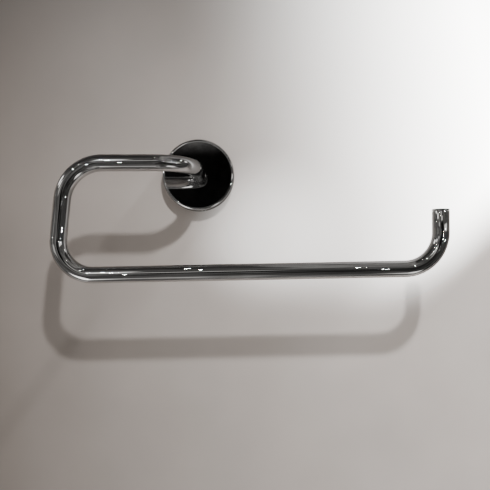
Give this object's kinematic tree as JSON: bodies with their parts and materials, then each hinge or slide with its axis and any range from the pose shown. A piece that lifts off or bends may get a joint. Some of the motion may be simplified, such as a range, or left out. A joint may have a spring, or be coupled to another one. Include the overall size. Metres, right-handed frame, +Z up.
{
  "type": "paper towel holder",
  "caption": "Wall-mounted open-arm paper towel holder: a bent chromed tube with an upturned tip on a round rosette that hides its bracket.",
  "frame": {"origin": "middle of the wall bracket's flat back face, on the wall plane", "axes": "+Y into the wall, -Y out into the room, +X along the bar towards its open tip, +Z up"},
  "size_m": [0.2389, 0.0933, 0.0971],
  "materials": {
    "chrome_plate": "mirror-polished chromium plating on brass",
    "zinc_plated_steel": "bright zinc plating",
    "stainless_steel": "turned stainless steel",
    "die_cast_zinc": "raw die-cast zinc alloy, satin",
    "brass": "turned brass",
    "grey_nylon": "moulded nylon, satin"
  },
  "bodies": {
    "wall_side": {"wall_bracket": "die_cast_zinc", "wall_screw_upper": "zinc_plated_steel", "wall_screw_lower": "zinc_plated_steel", "wall_plug_upper": "grey_nylon", "wall_plug_lower": "grey_nylon"},
    "rosette": {"rosette_cover": "chrome_plate"},
    "arm": {"arm_tube": "chrome_plate", "end_plug": "chrome_plate", "post_ferrule": "brass", "arm_bolt": "zinc_plated_steel", "lock_washer": "zinc_plated_steel", "plain_washer": "zinc_plated_steel"},
    "grub": {"grub_screw": "stainless_steel"}
  },
  "joints": [
    {"name": "rosette_pull_off", "type": "slide", "parent": "wall_side", "child": "rosette", "axis": [0, -1, 0], "range_m": [0, 0.01]},
    {"name": "arm_turn", "type": "hinge", "parent": "rosette", "child": "arm", "pos_m": [0, -0.0103, 0], "axis": [0, -1, 0], "continuous": true},
    {"name": "grub_screw_back_out", "type": "slide", "parent": "rosette", "child": "grub", "axis": [0.1392, 0, -0.9903], "range_m": [0, 0.004]}
  ]
}
